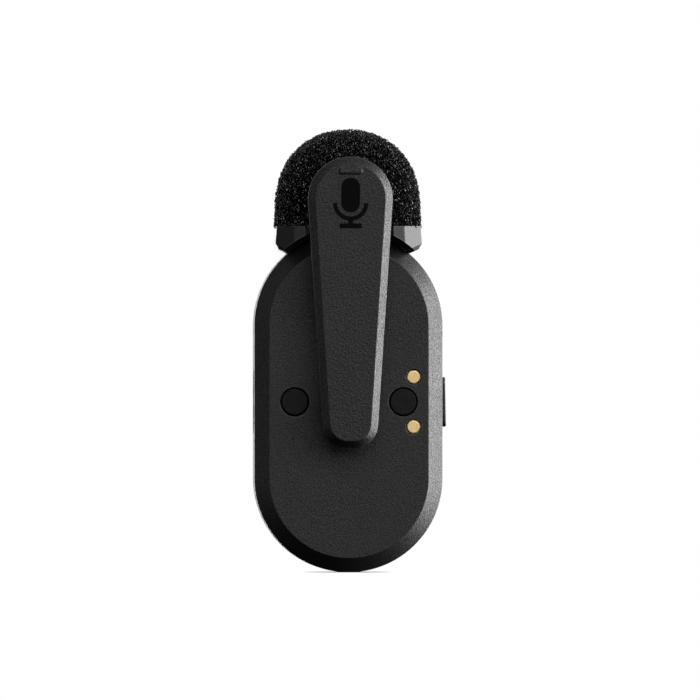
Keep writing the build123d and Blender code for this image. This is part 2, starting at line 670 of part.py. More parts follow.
def windscreen_collar():
    """Faceted push-on collar, arched underneath over the case, with a sleeve for the foam."""
    foot, top = collar_section(COLLAR_FOOT, COLLAR_FLARE), collar_section(COLLAR_TOP, 1.0)
    body = loft([foot, top], ruled=True)
    body &= above_keel()
    under = body.faces().filter_by(lambda face: face.normal_at().Z < -0.5)
    body = chamfer([edge for edge in under.edges() if abs(edge.center().X) > 1], COLLAR_BEVEL)
    mid_facet = (FACET_X + COLLAR_HALF_WIDTH) / 2
    body = fillet(uprights(body, mid_facet, BEYOND), CASE_ROUND)
    body = chamfer(uprights(body, FACET_X - 1, mid_facet), FACET_BEVEL)
    body -= collar_arch()
    body -= block((-COLLAR_NOTCH, COLLAR_NOTCH), (-BEYOND, NOTCH_FLOOR_Y), (COLLAR_FOOT - 1, COLLAR_TOP + 1))
    body += prism(head_outline(BORE_GAP + SLEEVE_WALL), COLLAR_TOP - 1, SLEEVE_TOP)
    return body - prism(head_outline(BORE_GAP), COLLAR_FOOT - 1, SLEEVE_TOP + 1)


def windscreen_foam():
    """Foam dome over the collar's sleeve: round seen from the rear, flattened front to back."""
    shoulder = FOAM_TOP - FOAM_RADIUS
    dome = RadiusArc((FOAM_RADIUS, shoulder), (0, FOAM_TOP), -FOAM_RADIUS)
    walls = Polyline((0, FOAM_TOP), (0, COLLAR_TOP), (FOAM_FOOT, COLLAR_TOP), (FOAM_RADIUS, shoulder))
    half = make_face(dome + walls)
    solid = revolve(Plane.XZ * half, Axis.Z)
    foam = Pos(0, MID_Y, 0) * scale(solid, by=(1, FOAM_FLATTEN, 1))
    sleeve_room = prism(head_outline(BORE_GAP + SLEEVE_WALL + HAIR), COLLAR_TOP - 1, SLEEVE_TOP + HAIR)
    head_room = prism(head_outline(BORE_GAP), COLLAR_TOP, FOAM_HOLLOW_TOP)
    return foam - sleeve_room - head_room


def main_board():
    """Circuit board, its top cut square below the microphone head."""
    board = slab(stadium(BOARD_RADIUS), BOARD_REAR, BOARD_FRONT)
    board &= block((-BEYOND, BEYOND), (0, CASE_DEPTH), (-2 * BEYOND, BOARD_TOP))
    for x, z in POST_PLACES:
        board -= rod_y(SCREW_RADIUS + GAP, x, z, 0, CASE_DEPTH)
    return board


def chip(x, z, width, height, thickness):
    """One component on the board's front side."""
    x_pair, z_pair = (x - width / 2, x + width / 2), (z - height / 2, z + height / 2)
    return block(x_pair, (BOARD_FRONT, BOARD_FRONT + thickness), z_pair)


def board_chips():
    """Memory, codec and charger chips with two rows of small passives."""
    codec = chip(-2.6, 7.4, 5.0, 5.0, 0.85)
    memory = chip(3.4, 7.4, 4.0, 4.0, 0.8)
    charger = chip(8.0, 8.6, 2.5, 2.5, 0.7)
    columns = [-4.2 + 1.35 * column for column in range(8)]
    passives = [chip(x, z, 0.5, 1.0, 0.4) for z in (3.4, 11.3) for x in columns]
    return [codec, memory, charger, *passives]


def radio_shield():
    """Stamped can over the radio section."""
    left, right, low, high = -4.6, 6.4, -13.0, 1.0
    can = block((left, right), (BOARD_FRONT, SHIELD_FRONT), (low, high))
    can = fillet(edges_at(can, SHIELD_FRONT), 0.3)
    inside_x = (left + SHIELD_WALL, right - SHIELD_WALL)
    inside_z = (low + SHIELD_WALL, high - SHIELD_WALL)
    return can - block(inside_x, (BOARD_FRONT - 1, SHIELD_FRONT - SHIELD_WALL), inside_z)


def radio_chip():
    """Radio and processor chip under the can."""
    return block((-2.5, 3.5), (BOARD_FRONT, BOARD_FRONT + 0.9), (-9.0, -3.0))


def antenna():
    """Bent metal strip round the case's lower end, with a foot soldered to the board."""
    hoop = rod_y(ANTENNA_RADIUS, 0, -ARC_Z, ANTENNA_REAR, ANTENNA_FRONT)
    hoop -= rod_y(ANTENNA_RADIUS - ANTENNA_STRIP, 0, -ARC_Z, ANTENNA_REAR - 1, ANTENNA_FRONT + 1)
    hoop &= block((-BEYOND, BEYOND), (0, CASE_DEPTH), (-2 * BEYOND, ANTENNA_TOP))
    low = -ARC_Z - ANTENNA_RADIUS
    return hoop + block((-1, 1), (BOARD_FRONT, ANTENNA_REAR + HAIR), (low, low + ANTENNA_STRIP))


def battery_tray():
    """Plastic tray on four posts that carries the cell in front of the board."""
    top = TRAY_REAR + TRAY_PLATE
    well_width = 2 * (BATTERY_HALF + TRAY_PLAY)
    well_height = BATTERY_HIGH - BATTERY_LOW + 2 * TRAY_PLAY
    centre = Pos(0, (BATTERY_HIGH + BATTERY_LOW) / 2)
    rim = RectangleRounded(well_width + 2 * TRAY_RIM, well_height + 2 * TRAY_RIM, 2 * TRAY_RIM)
    tray = slab(centre * rim, TRAY_REAR, top + TRAY_LIP)
    tray -= slab(centre * RectangleRounded(well_width, well_height, 2 * TRAY_PLAY), top, top + 2)
    for x, z in POST_PLACES:
        tray += rod_y(EAR_RADIUS, x, z, TRAY_REAR, top)
        web = BATTERY_HIGH if z > 0 else BATTERY_LOW
        tray += slab(Pos(x, (z + web) / 2) * Rectangle(2 * EAR_RADIUS, abs(z - web)), TRAY_REAR, top)
        tray += rod_y(POST_RADIUS, x, z, BOARD_FRONT + HAIR, TRAY_REAR + HAIR)
    for x, z in POST_PLACES:
        tray -= rod_y(SCREW_RADIUS + GAP, x, z, 0, CASE_DEPTH)
    notch_x = (LEADS_X[0] - POST_RADIUS / 3, LEADS_X[1] + POST_RADIUS / 3)
    return tray - block(notch_x, (TRAY_REAR - 1, CASE_DEPTH), (BATTERY_HIGH, BATTERY_HIGH + 2))


def battery_tape():
    """Foam tape between the cell and the tray."""
    half = BATTERY_HALF - TAPE_INSET
    z = (BATTERY_LOW + TAPE_INSET, BATTERY_HIGH - TAPE_INSET)
    return block((-half, half), (TRAY_REAR + TRAY_PLATE, BATTERY_REAR - HAIR), z)


def battery_cell():
    """Lithium pouch cell with rounded long edges."""
    x, z = (-BATTERY_HALF, BATTERY_HALF), (BATTERY_LOW, BATTERY_HIGH)
    cell = block(x, (BATTERY_REAR, BATTERY_FRONT), z)
    return fillet(cell.edges().filter_by(Axis.Z), BATTERY_ROUND)


def side_button():
    """Button cap with an inner flange and a nub that meets the switch plunger."""
    cap = bar(button_outline(), FLANGE_OUTER_X - HAIR, CASE_RADIUS + 1)
    reach = BUTTON_LENGTH / 2
    top, bottom = CASE_RADIUS + BUTTON_PROUD_TOP, CASE_RADIUS + BUTTON_PROUD_BOTTOM
    profile = [(0, reach), (top, reach), (bottom, -reach), (0, -reach)]
    cap &= slab(make_face(Polyline(*profile, close=True)), 0, CASE_DEPTH)
    cap = fillet(cap.faces().sort_by(Axis.X)[-1].edges(), BUTTON_ROUND)
    flange = bar(button_outline(FLANGE_RIM), FLANGE_OUTER_X - FLANGE_THICKNESS, FLANGE_OUTER_X)
    return cap + flange + rod_x(NUB_RADIUS, MID_Y, 0, SWITCH_TIP + HAIR, FLANGE_OUTER_X)


def button_seal():
    """Soft frame behind the button's flange that keeps water out and returns the button."""
    outer_x = FLANGE_OUTER_X - FLANGE_THICKNESS - BUTTON_TRAVEL - GAP
    frame = bar(button_outline(FLANGE_RIM), outer_x - SEAL_THICKNESS, outer_x)
    return frame - bar(button_outline(-SEAL_INSET), outer_x - 1, outer_x + 1)


def switch_body():
    """Side-acting push switch, soldered to the board."""
    body = block((SWITCH_BACK, SWITCH_FACE), (BOARD_FRONT, SWITCH_FRONT), (-SWITCH_HALF, SWITCH_HALF))
    bore_end = SWITCH_FACE - PLUNGER_DEPTH - BUTTON_TRAVEL - GAP
    return body - rod_x(PLUNGER_RADIUS + GAP / 2, MID_Y, 0, bore_end, SWITCH_FACE + 1)


def switch_plunger():
    """The switch's moving plunger, which travels with the button."""
    return rod_x(PLUNGER_RADIUS, MID_Y, 0, SWITCH_FACE - PLUNGER_DEPTH, SWITCH_TIP)


def usb_shell():
    """Folded metal shell of the USB socket, closed at its inner end."""
    outer = Pos(MID_Y, 0) * SlotOverall(USB_LENGTH, USB_HEIGHT, rotation=90)
    inner = Pos(MID_Y, 0) * SlotOverall(USB_LENGTH - 2 * USB_WALL, USB_HEIGHT - 2 * USB_WALL, rotation=90)
    return bar(outer, USB_MOUTH_X, USB_BACK_X) - bar(inner, USB_MOUTH_X - 1, USB_BACK_X - USB_WALL)


def usb_tongue():
    """Contact tongue and its moulded base inside the socket."""
    inner_end = USB_BACK_X - USB_WALL - HAIR
    tongue_y = (MID_Y - USB_TONGUE / 2, MID_Y + USB_TONGUE / 2)
    tongue_z = (-USB_TONGUE_HALF, USB_TONGUE_HALF)
    tongue = block((USB_MOUTH_X + USB_TONGUE_SINK, inner_end), tongue_y, tongue_z)
    inset = 2 * (USB_WALL + HAIR)
    base = Pos(MID_Y, 0) * SlotOverall(USB_LENGTH - inset, USB_HEIGHT - inset, rotation=90)
    return tongue + bar(base, inner_end - USB_BASE, inner_end)


def build():
    """Every piece by node name. A list is a group of separate solids."""
    return {
        "rear_cover": rear_cover(),
        "front_cover": front_cover(),
        **case_gaskets(),
        "clip_bracket": clip_bracket(),
        "bracket_screws": bracket_screws(),
        "clip_lever": clip_lever(),
        "clip_pad": clip_pad(),
        "pivot_pin": pivot_pin(),
        "clip_spring": clip_spring(),
        "left_magnet": magnet(-1),
        "right_magnet": magnet(1),
        "upper_contact": contact_pin(1),
        "lower_contact": contact_pin(-1),
        "upper_contact_spring": contact_spring(1),
        "lower_contact_spring": contact_spring(-1),
        "side_button": side_button(),
        "button_seal": button_seal(),
        "switch_body": switch_body(),
        "switch_plunger": switch_plunger(),
        "usb_shell": usb_shell(),
        "usb_tongue": usb_tongue(),
        "main_board": main_board(),
        "board_chips": board_chips(),
        "board_screws": board_screws(),
        "radio_shield": radio_shield(),
        "radio_chip": radio_chip(),
        "antenna": antenna(),
        "status_lamp": status_lamp(),
        "light_pipe": light_pipe(),
        "battery_tray": battery_tray(),
        "battery_tape": battery_tape(),
        "battery_cell": battery_cell(),
        "battery_leads": battery_leads(),
        "mic_head": mic_head(),
        "head_ring": head_ring(),
        "mic_capsule": mic_capsule(),
        "capsule_boot": capsule_boot(),
        "capsule_wires": capsule_wires(),
        "acoustic_mesh": acoustic_mesh(),
        "mic_grille": mic_grille(),
        "windscreen_collar": windscreen_collar(),
        "windscreen_foam": windscreen_foam(),
    }


os.makedirs("parts", exist_ok=True)
for name, shape in build().items():
    whole = Compound(children=shape) if isinstance(shape, list) else shape
    export_step(whole, f"parts/{name}.step")
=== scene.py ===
import json
import math
from functools import partial

import bmesh
import bpy
import numpy as np
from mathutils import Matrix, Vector
from mathutils.kdtree import KDTree


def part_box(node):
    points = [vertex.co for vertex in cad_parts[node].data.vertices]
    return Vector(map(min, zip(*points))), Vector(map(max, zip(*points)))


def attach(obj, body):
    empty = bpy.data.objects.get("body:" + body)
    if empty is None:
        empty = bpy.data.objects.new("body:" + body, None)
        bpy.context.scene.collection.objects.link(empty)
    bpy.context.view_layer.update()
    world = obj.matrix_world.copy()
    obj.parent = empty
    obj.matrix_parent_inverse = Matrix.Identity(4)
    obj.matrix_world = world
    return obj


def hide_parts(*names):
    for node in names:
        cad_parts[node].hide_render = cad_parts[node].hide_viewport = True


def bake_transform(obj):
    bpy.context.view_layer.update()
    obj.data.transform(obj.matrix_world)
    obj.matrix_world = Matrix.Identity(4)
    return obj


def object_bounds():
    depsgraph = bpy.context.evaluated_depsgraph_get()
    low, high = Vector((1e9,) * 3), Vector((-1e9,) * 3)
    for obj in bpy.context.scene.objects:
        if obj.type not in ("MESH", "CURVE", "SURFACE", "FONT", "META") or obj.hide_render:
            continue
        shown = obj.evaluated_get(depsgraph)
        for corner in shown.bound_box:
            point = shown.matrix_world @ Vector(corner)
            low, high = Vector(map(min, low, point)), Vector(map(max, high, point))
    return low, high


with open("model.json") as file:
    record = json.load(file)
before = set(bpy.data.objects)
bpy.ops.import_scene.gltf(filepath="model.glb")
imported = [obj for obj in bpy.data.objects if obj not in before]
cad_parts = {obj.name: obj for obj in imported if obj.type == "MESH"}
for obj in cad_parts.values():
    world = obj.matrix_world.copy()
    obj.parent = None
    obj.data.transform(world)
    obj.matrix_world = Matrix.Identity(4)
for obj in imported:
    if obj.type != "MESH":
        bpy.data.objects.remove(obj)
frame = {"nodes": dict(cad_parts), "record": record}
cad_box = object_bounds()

# Looks for a clip-on wireless lavalier microphone: procedural materials for every CAD node, the
# foam windscreen's open cells, the clip's coil spring, the clip's pictogram, the woven cloth over
# the microphone, and a white studio round it all.
#
# Lengths are written in millimetres and turned into Blender's metres with MM. Materials turn
# their coordinates back into millimetres, so a grain size there is a real size too. +X is the
# button's side, -Y the clip's side and +Z the windscreen's end.
MM = 0.001
SEED = 20


# ---------------------------------------------------------------- node helpers

class Shader:
    """A material under construction: a node tree with one Principled shader and millimetre coordinates."""

    def __init__(self, name, **values):
        self.material = bpy.data.materials.new(name)
        self.material.use_nodes = True
        self.tree = self.material.node_tree
        self.surface = self.tree.nodes["Principled BSDF"]
        for socket, value in values.items():
            self.surface.inputs[socket.replace("_", " ")].default_value = value
        place = self.add("ShaderNodeTexCoord").outputs["Object"]
        self.place = self.calculate("SCALE", place, 1 / MM, vector=True)

    def add(self, kind, **settings):
        """A new node with some of its settings changed."""
        node = self.tree.nodes.new(kind)
        for name, value in settings.items():
            setattr(node, name, value)
        return node

    def link(self, source, socket):
        self.tree.links.new(source, socket)

    def feed(self, socket, value):
        """Gives a socket a constant, or links it to another node's output."""
        if isinstance(value, bpy.types.NodeSocket):
            self.link(value, socket)
        else:
            socket.default_value = value

    def calculate(self, operation, a, b=0.0, vector=False):
        """One sum, product or other operation on two numbers or vectors."""
        node = self.add("ShaderNodeVectorMath" if vector else "ShaderNodeMath", operation=operation)
        self.feed(node.inputs[0], a)
        if vector and operation == "SCALE":
            self.feed(node.inputs["Scale"], b)
        else:
            self.feed(node.inputs[1], b)
        return node.outputs[0]

    def noise(self, size, detail=2.0, roughness=0.5, stretch=None):
        """Soft noise from 0 to 1 whose features are about the given size, in millimetres."""
        node = self.add("ShaderNodeTexNoise")
        node.inputs["Scale"].default_value = 1 / size
        node.inputs["Detail"].default_value = detail
        node.inputs["Roughness"].default_value = roughness
        place = self.place
        if stretch:
            place = self.calculate("MULTIPLY", place, stretch, vector=True)
        self.link(place, node.inputs["Vector"])
        return node.outputs["Fac"]

    def cells(self, size, feature="F1"):
        """Cell pattern: the distance from each cell's middle, in cell sizes."""
        node = self.add("ShaderNodeTexVoronoi", feature=feature)
        node.inputs["Scale"].default_value = 1 / size
        self.link(self.place, node.inputs["Vector"])
        return node.outputs["Distance"]

    def ramp(self, value, low, high, to_low, to_high):
        """Maps one range of values on to another, held at both ends."""
        node = self.add("ShaderNodeMapRange")
        self.link(value, node.inputs["Value"])
        node.inputs["From Min"].default_value = low
        node.inputs["From Max"].default_value = high
        node.inputs["To Min"].default_value = to_low
        node.inputs["To Max"].default_value = to_high
        return node.outputs["Result"]

    def mix(self, factor, dark, light):
        """A colour between two others."""
        node = self.add("ShaderNodeMix", data_type="RGBA")
        self.link(factor, node.inputs["Factor"])
        for socket, colour in ((node.inputs["A"], dark), (node.inputs["B"], light)):
            self.feed(socket, (*colour, 1.0) if isinstance(colour, tuple) else colour)
        return node.outputs["Result"]

    def bump(self, height, depth, under=None):
        """Relief of the given depth in millimetres, laid over another relief if there is one."""
        node = self.add("ShaderNodeBump")
        node.inputs["Strength"].default_value = 1.0
        node.inputs["Distance"].default_value = depth * MM
        self.link(height, node.inputs["Height"])
        if under:
            self.link(under, node.inputs["Normal"])
        return node.outputs["Normal"]

    def painted_highlight_mask(self, radius):
        """Mask for a painted highlight: about 1 along the outer edges, fading to 0 on flat ground, broken
        up by noise.
        """
        rounded = self.add("ShaderNodeBevel", samples=6)
        rounded.inputs["Radius"].default_value = radius * MM
        likeness = self.add("ShaderNodeVectorMath", operation="DOT_PRODUCT")
        self.link(rounded.outputs["Normal"], likeness.inputs[0])
        self.link(self.add("ShaderNodeNewGeometry").outputs["Normal"], likeness.inputs[1])
        edge = self.ramp(likeness.outputs["Value"], 0.93, 0.995, 1.0, 0.0)
        patchy = self.ramp(self.noise(0.25), 0.3, 0.6, 0.4, 1.0)
        return self.calculate("MULTIPLY", edge, patchy)

    def finish(self, colour=None, roughness=None, normal=None):
        """Feeds the surface and hands over the material."""
        for socket, value in (("Base Color", colour), ("Roughness", roughness), ("Normal", normal)):
            if value is not None:
                self.feed(self.surface.inputs[socket], value)
        return self.material


# ---------------------------------------------------------------- materials

def tint(colour, factor):
    """A colour made lighter or darker."""
    return tuple(min(1.0, channel * factor) for channel in colour)


BLACK = (0.003, 0.003, 0.0031)
# A painted highlight along the outer edges, lighter than the plastic, standing in for light that rounded
# edges catch: its colour, and its reach in millimetres.
PAINTED_HIGHLIGHT_COLOUR = (0.09, 0.09, 0.09)
PAINTED_HIGHLIGHT_RADIUS = 0.22


def textured_plastic(name, colour, grain, depth, roughness, specular=0.5, painted_edge_highlight=False):
    """Moulded plastic with an eroded grain: fine pits, uneven sheen and faint handling marks, and if asked
    a painted highlight along the outer edges.
    """
    shader = Shader(name, Specular_IOR_Level=specular)
    pits = shader.noise(grain, detail=3.0, roughness=0.65)
    broad = shader.noise(6.0, detail=2.0)
    mottle = shader.calculate(
        "ADD", shader.calculate("MULTIPLY", pits, 0.75), shader.calculate("MULTIPLY", broad, 0.25)
    )
    base = shader.mix(shader.ramp(mottle, 0.35, 0.65, 0.0, 1.0), tint(colour, 0.7), tint(colour, 1.3))
    sheen = shader.ramp(pits, 0.3, 0.7, roughness + 0.07, roughness - 0.07)
    smudge = shader.ramp(broad, 0.4, 0.7, 0.0, -0.03)
    glint = shader.ramp(pits, 0.3, 0.7, specular * 0.45, specular * 1.55)
    shader.feed(shader.surface.inputs["Specular IOR Level"], glint)
    relief = shader.bump(shader.cells(grain * 1.6), depth * 0.6)
    relief = shader.bump(pits, depth, under=relief)
    # Painted highlight: the outer edges are lightened, standing in for the light that rounded edges catch.
    if painted_edge_highlight:
        base = shader.mix(shader.painted_highlight_mask(PAINTED_HIGHLIGHT_RADIUS), base, PAINTED_HIGHLIGHT_COLOUR)
    return shader.finish(base, shader.calculate("ADD", sheen, smudge), relief)


def smooth_plastic(name, colour, roughness, specular=0.5, painted_edge_highlight=False):
    """Smooth moulded plastic with a slight orange-peel ripple and uneven gloss, and if asked a painted
    highlight along the outer edges.
    """
    shader = Shader(name, Specular_IOR_Level=specular)
    ripple = shader.noise(0.9, detail=2.0)
    dust = shader.noise(0.08, detail=1.0)
    base = shader.mix(shader.ramp(ripple, 0.3, 0.7, 0.0, 1.0), tint(colour, 0.85), tint(colour, 1.15))
    sheen = shader.ramp(dust, 0.35, 0.75, roughness - 0.04, roughness + 0.08)
    # Painted highlight: the outer edges are lightened, standing in for the light that rounded edges catch.
    if painted_edge_highlight:
        base = shader.mix(shader.painted_highlight_mask(PAINTED_HIGHLIGHT_RADIUS), base, PAINTED_HIGHLIGHT_COLOUR)
    return shader.finish(base, sheen, shader.bump(ripple, 0.004))


def rubber(name, colour):
    """Soft moulded rubber: matte, slightly powdery."""
    shader = Shader(name, Specular_IOR_Level=0.3)
    powder = shader.noise(0.12, detail=4.0, roughness=0.7)
    base = shader.mix(shader.ramp(powder, 0.3, 0.7, 0.0, 1.0), tint(colour, 0.75), tint(colour, 1.3))
    return shader.finish(base, shader.ramp(powder, 0.3, 0.7, 0.85, 0.7), shader.bump(powder, 0.01))


def metal(name, colour, roughness, stretch=(1.0, 1.0, 1.0), size=0.3):
    """Metal with drawing or brushing lines: stretch squeezes the grain across the lines."""
    shader = Shader(name, Metallic=1.0)
    lines = shader.noise(size, detail=4.0, roughness=0.6, stretch=stretch)
    tarnish = shader.noise(2.5, detail=3.0)
    base = shader.mix(shader.ramp(tarnish, 0.35, 0.7, 0.0, 1.0), colour, tint(colour, 0.82))
    sheen = shader.ramp(lines, 0.3, 0.7, roughness - 0.08, roughness + 0.1)
    return shader.finish(base, sheen, shader.bump(lines, 0.003))


def gold_plate(name, colour):
    """Satin gold plating, with a faint turned grain."""
    shader = Shader(name, Metallic=1.0)
    grain = shader.noise(0.05, detail=3.0)
    patch = shader.noise(0.7, detail=2.0)
    base = shader.mix(shader.ramp(patch, 0.3, 0.7, 0.0, 1.0), tint(colour, 0.93), tint(colour, 1.05))
    return shader.finish(base, shader.ramp(grain, 0.3, 0.7, 0.5, 0.66), shader.bump(grain, 0.002))


def circuit_board(name, colour):
    """Solder mask over copper: broad copper areas show lighter, with fine runs between them."""
    shader = Shader(name)
    copper = shader.ramp(shader.cells(3.0, "DISTANCE_TO_EDGE"), 0.03, 0.06, 0.0, 1.0)
    weave = shader.noise(0.2, detail=2.0, stretch=(3.0, 1.0, 1.0))
    base = shader.mix(copper, tint(colour, 0.6), tint(colour, 1.4))
    relief = shader.bump(copper, 0.03)
    relief = shader.bump(weave, 0.004, under=relief)
    return shader.finish(base, shader.ramp(weave, 0.3, 0.7, 0.25, 0.4), relief)


def cloth(name, colour):
    """Fine woven acoustic cloth."""
    shader = Shader(name, Sheen_Weight=0.3)
    waves = []
    for axis in ("X", "Y"):
        wave = shader.add("ShaderNodeTexWave", bands_direction=axis)
        wave.inputs["Scale"].default_value = 2.0
        shader.link(shader.place, wave.inputs["Vector"])
        waves.append(wave.outputs["Fac"])
    weave = shader.calculate("MULTIPLY", *waves)
    base = shader.mix(weave, tint(colour, 0.4), tint(colour, 1.5))
    return shader.finish(base, 0.9, shader.bump(weave, 0.04))


def crinkled_foil(name, colour):
    """Aluminium pouch foil with pressed creases."""
    shader = Shader(name, Metallic=1.0)
    crease = shader.noise(2.0, detail=5.0, roughness=0.6)
    base = shader.mix(shader.ramp(crease, 0.3, 0.7, 0.0, 1.0), tint(colour, 0.85), colour)
    return shader.finish(base, shader.ramp(crease, 0.3, 0.7, 0.3, 0.45), shader.bump(crease, 0.08))


def frosted_clear(name, colour):
    """Frosted acrylic that lets a lamp's light through."""
    shader = Shader(name, Transmission_Weight=0.75, IOR=1.49)
    frost = shader.noise(0.1, detail=3.0)
    base = shader.mix(frost, tint(colour, 0.9), colour)
    return shader.finish(base, shader.ramp(frost, 0.3, 0.7, 0.3, 0.5), shader.bump(frost, 0.006))


def foam_strand(name, colour):
    """The foam's cell edges: dark plastic threads, shiny in patches where they face the viewer."""
    shader = Shader(name, IOR=2.0)
    patch = shader.noise(0.18, detail=2.0)
    facing = shader.add("ShaderNodeLayerWeight").outputs["Facing"]
    gloss = shader.ramp(patch, 0.46, 0.6, 0.02, 0.68)
    face_on = shader.ramp(facing, 0.35, 0.68, 1.0, 0.02)
    shader.feed(shader.surface.inputs["Specular IOR Level"], shader.calculate("MULTIPLY", gloss, face_on))
    base = shader.mix(shader.ramp(patch, 0.42, 0.65, 0.0, 1.0), tint(colour, 0.3), tint(colour, 2.2))
    return shader.finish(base, shader.ramp(patch, 0.4, 0.65, 0.45, 0.25))


def foam_depth(name, colour):
    """The unlit inside of the foam, seen between its cell edges."""
    shader = Shader(name, Specular_IOR_Level=0.05)
    cells = shader.cells(0.45)
    base = shader.mix(shader.ramp(cells, 0.2, 0.6, 0.0, 1.0), tint(colour, 1.6), tint(colour, 0.3))
    return shader.finish(base, 0.95, shader.bump(cells, 0.2))


# The look of each of the record's material slots.
SLOT_MATERIALS = {
    "case_plastic": partial(
        textured_plastic, colour=(0.005, 0.005, 0.0052), grain=0.17, depth=0.03, roughness=0.5, painted_edge_highlight=True
    ),
    "clip_plastic": partial(
        textured_plastic, colour=BLACK, grain=0.2, depth=0.055, roughness=0.5, painted_edge_highlight=True
    ),
    "bracket_plastic": partial(textured_plastic, colour=BLACK, grain=0.2, depth=0.015, roughness=0.55),
    "collar_plastic": partial(smooth_plastic, colour=(0.007, 0.007, 0.0072), roughness=0.38, painted_edge_highlight=True),
    "head_plastic": partial(smooth_plastic, colour=(0.01, 0.01, 0.01), roughness=0.42),
    "button_plastic": partial(smooth_plastic, colour=(0.012, 0.0115, 0.011), roughness=0.32, painted_edge_highlight=True),
    "socket_plastic": partial(smooth_plastic, colour=(0.02, 0.02, 0.02), roughness=0.4),
    "plunger_plastic": partial(smooth_plastic, colour=(0.6, 0.57, 0.5), roughness=0.4),
    "tray_plastic": partial(smooth_plastic, colour=(0.05, 0.05, 0.055), roughness=0.5),
    "chip_epoxy": partial(
        textured_plastic, colour=(0.02, 0.02, 0.022), grain=0.08, depth=0.006, roughness=0.6
    ),
    "lamp_epoxy": partial(smooth_plastic, colour=(0.75, 0.75, 0.62), roughness=0.2),
    "pad_rubber": partial(rubber, colour=(0.015, 0.015, 0.015)),
    "seal_rubber": partial(rubber, colour=(0.03, 0.03, 0.032)),
    "tape_foam": partial(rubber, colour=(0.05, 0.05, 0.05)),
    "wire_jacket": partial(smooth_plastic, colour=(0.35, 0.03, 0.025), roughness=0.4),
    "magnet_coating": partial(
        textured_plastic, colour=(0.003, 0.003, 0.003), grain=0.1, depth=0.006, roughness=0.5, specular=0.2
    ),
    "gold_plate": partial(gold_plate, colour=(1.0, 0.75, 0.38)),
    "leaf_spring": partial(metal, colour=(0.8, 0.62, 0.38), roughness=0.3, stretch=(1.0, 1.0, 6.0)),
    "pin_steel": partial(metal, colour=(0.6, 0.6, 0.61), roughness=0.25, stretch=(8.0, 1.0, 1.0)),
    "spring_steel": partial(metal, colour=(0.42, 0.42, 0.43), roughness=0.3, size=0.1),
    "screw_steel": partial(metal, colour=(0.12, 0.12, 0.125), roughness=0.35, stretch=(1.0, 5.0, 1.0)),
    "shell_steel": partial(metal, colour=(0.66, 0.66, 0.65), roughness=0.28, stretch=(5.0, 1.0, 1.0)),
    "capsule_metal": partial(metal, colour=(0.75, 0.75, 0.76), roughness=0.3, stretch=(1.0, 1.0, 6.0)),
    "grille_metal": partial(
        textured_plastic, colour=(0.012, 0.012, 0.012), grain=0.12, depth=0.008, roughness=0.45
    ),
    "board_laminate": partial(circuit_board, colour=(0.012, 0.075, 0.035)),
    "cell_foil": partial(crinkled_foil, colour=(0.75, 0.76, 0.77)),
    "pipe_acrylic": partial(frosted_clear, colour=(0.9, 0.92, 0.93)),
    "mesh_cloth": partial(cloth, colour=(0.03, 0.03, 0.03)),
    "foam": partial(foam_depth, colour=(0.006, 0.006, 0.006)),
}


def dress_cad():
    """Gives every CAD node its slot's material, smooths its curved faces, and returns the materials."""
    made = {slot: build(slot) for slot, build in SLOT_MATERIALS.items()}
    for row in frame["record"]["subparts"]:
        mesh = frame["nodes"][row["node"]].data
        mesh.materials.clear()
        mesh.materials.append(made[row["material_slot"]])
        mesh.shade_smooth()
        mesh.set_sharp_from_angle(angle=math.radians(25))
    return made


# ---------------------------------------------------------------- mesh helpers

def add_piece(name, mesh, material, body=None):
    """Puts a mesh in the scene as a piece with its material, riding on a body if one is given."""
    piece = bpy.data.objects.new(name, mesh)
    bpy.context.scene.collection.objects.link(piece)
    mesh.materials.append(material)
    if body:
        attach(piece, body)
    return piece


def strut_mesh(name, joints, links, radii):
    """Straight three-sided struts, one for each pair of joints. Lengths are in millimetres."""
    start, end = joints[links[:, 0]], joints[links[:, 1]]
    along = end - start
    along /= np.linalg.norm(along, axis=1, keepdims=True)
    helper = np.where(np.abs(along[:, 2:]) < 0.8, [[0.0, 0.0, 1.0]], [[1.0, 0.0, 0.0]])
    across = np.cross(along, helper)
    across /= np.linalg.norm(across, axis=1, keepdims=True)
    other = np.cross(along, across)
    corners = []
    for point in (start, end):
        for turn in np.radians((0, 120, 240)):
            corners.append(point + radii[:, None] * (math.cos(turn) * across + math.sin(turn) * other))
    first = np.arange(len(links))[:, None] * 6
    faces = np.concatenate([first + np.array(side) for side in ((0, 1, 4, 3), (1, 2, 5, 4), (2, 0, 3, 5))])
    mesh = bpy.data.meshes.new(name)
    mesh.from_pydata((np.stack(corners, axis=1).reshape(-1, 3) * MM).tolist(), [], faces.tolist())
    return mesh


def plate_mesh(name, outlines, y_rear, y_front):
    """Flat plates cut to outlines drawn in X and Z, between two Y planes, in millimetres."""
    solid = bmesh.new()
    for outline in outlines:
        face = solid.faces.new([solid.verts.new(Vector((x, y_rear, z)) * MM) for x, z in outline])
        side = bmesh.ops.extrude_face_region(solid, geom=[face])
        moved = [item for item in side["geom"] if isinstance(item, bmesh.types.BMVert)]
        bmesh.ops.translate(solid, vec=(0, (y_front - y_rear) * MM, 0), verts=moved)
    bmesh.ops.recalc_face_normals(solid, faces=solid.faces)
    mesh = bpy.data.meshes.new(name)
    solid.to_mesh(mesh)
    solid.free()
    return mesh


def tube_mesh(name, points, radius):
    """A round wire through closely spaced points, in millimetres."""
    curve = bpy.data.curves.new(name, "CURVE")
    curve.dimensions = "3D"
    curve.bevel_depth = radius * MM
    curve.bevel_resolution = 3
    curve.use_fill_caps = True
    line = curve.splines.new("POLY")
    line.points.add(len(points) - 1)
    for point, place in zip(line.points, points):
        point.co = (*(Vector(place) * MM), 1.0)
    carrier = bpy.data.objects.new(name, curve)
    mesh = bpy.data.meshes.new_from_object(carrier)
    bpy.data.objects.remove(carrier)
    mesh.shade_smooth()
    return mesh


